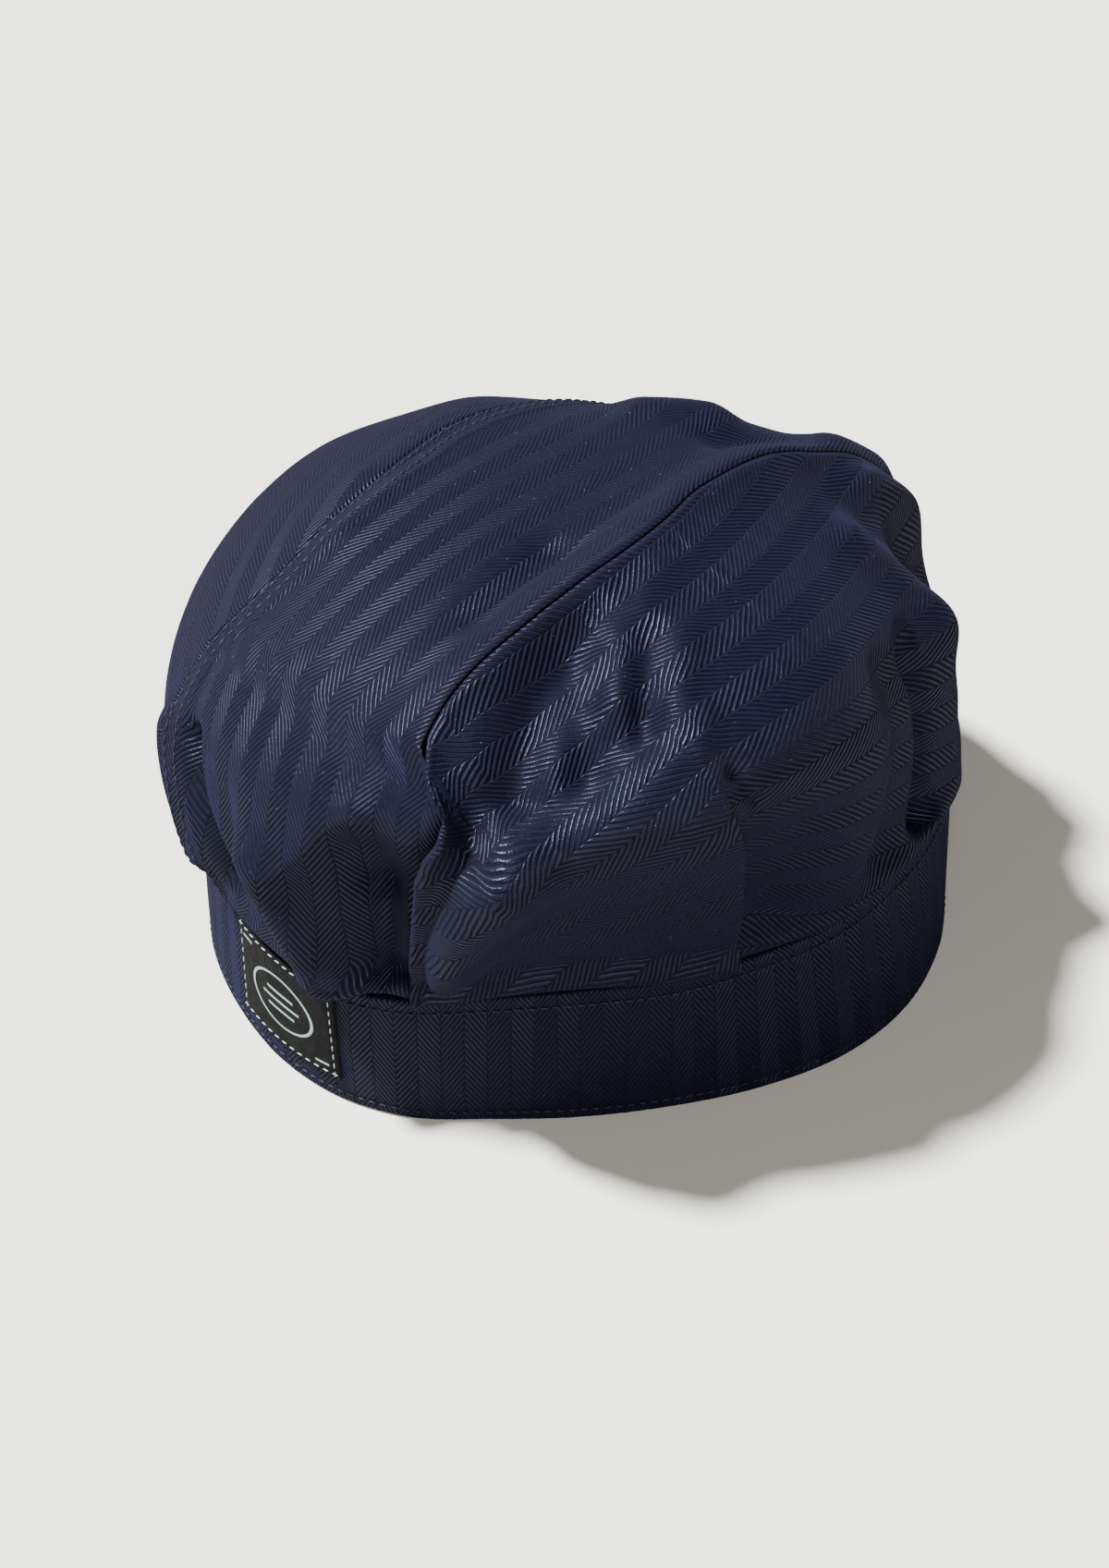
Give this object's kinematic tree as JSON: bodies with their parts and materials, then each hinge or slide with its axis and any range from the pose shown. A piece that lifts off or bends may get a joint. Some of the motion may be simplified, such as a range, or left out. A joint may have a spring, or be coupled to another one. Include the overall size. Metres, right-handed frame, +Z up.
{
  "type": "peakless work cap",
  "caption": "Slouchy peakless work cap of dark herringbone twill: stitched head band, panelled crown with felled seams and pleats, and a small woven label at the back.",
  "frame": {"origin": "middle of the whole cap's box, on the surface that the band rests on", "axes": "+Z up, +Y to the wearer's front, +X to the wearer's right, the label at the back on -Y"},
  "size_m": [0.178, 0.2048, 0.1247],
  "materials": {
    "band_twill": "dark navy herringbone twill, doubled and topstitched",
    "center_twill": "dark navy herringbone twill",
    "right_twill": "dark navy herringbone twill",
    "left_twill": "dark navy herringbone twill",
    "label_weave": "black woven ribbon"
  },
  "bodies": {
    "root": {"band": "band_twill", "crown_center_panel": "center_twill", "crown_side_panel_right": "right_twill", "crown_side_panel_left": "left_twill", "label": "label_weave"}
  },
  "joints": []
}
